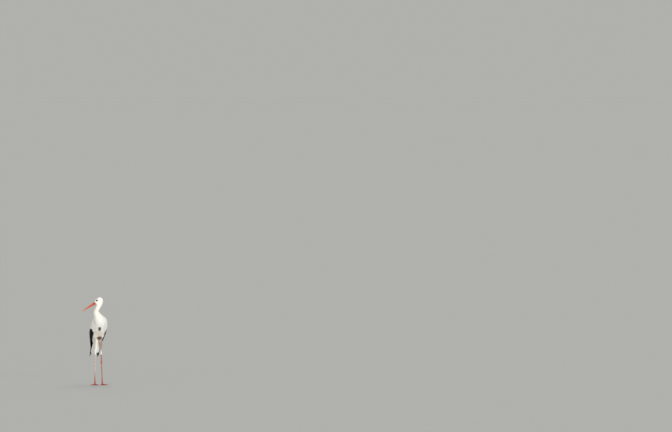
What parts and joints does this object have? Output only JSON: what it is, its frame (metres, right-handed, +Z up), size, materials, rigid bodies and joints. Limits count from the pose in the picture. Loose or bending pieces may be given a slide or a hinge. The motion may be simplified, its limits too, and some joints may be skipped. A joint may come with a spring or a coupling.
{
  "type": "white stork",
  "caption": "Life-size still model of a white stork standing upright, wings folded, head turned to its right with the bill pointing down.",
  "frame": {"origin": "middle of the bird's bounding box, on the floor that its feet stand on", "axes": "+Z up, the breast faces -Y, +X is the bird's left side"},
  "size_m": [0.2914, 0.5358, 0.9105],
  "materials": {
    "plumage_white": "soft warm-white contour feathers, slightly buff on the lower breast and belly",
    "plumage_black": "black flight feathers with a faint grey bloom",
    "bill_red": "orange-red horn with a satin sheen, paler towards the tip",
    "leg_red": "dull red scaly skin with some whitish bloom",
    "eye_dark": "wet dark brown eye",
    "claw_dark": "dull brown flat nails"
  },
  "bodies": {
    "root": {"bill_upper": "bill_red", "bill_lower": "bill_red", "eye_left": "eye_dark", "eye_right": "eye_dark", "head": "plumage_white", "neck_upper": "plumage_white", "neck_lower": "plumage_white", "wing_coverts_left": "plumage_white", "wing_flights_left": "plumage_black", "thigh_left": "plumage_white", "tibia_left": "leg_red", "tarsus_left": "leg_red", "foot_left": "leg_red", "claw_left_middle": "claw_dark", "claw_left_inner": "claw_dark", "claw_left_outer": "claw_dark", "claw_left_hind": "claw_dark", "wing_coverts_right": "plumage_white", "wing_flights_right": "plumage_black", "thigh_right": "plumage_white", "tibia_right": "leg_red", "tarsus_right": "leg_red", "foot_right": "leg_red", "claw_right_middle": "claw_dark", "claw_right_inner": "claw_dark", "claw_right_outer": "claw_dark", "claw_right_hind": "claw_dark", "trunk": "plumage_white", "tail": "plumage_white"}
  },
  "joints": []
}
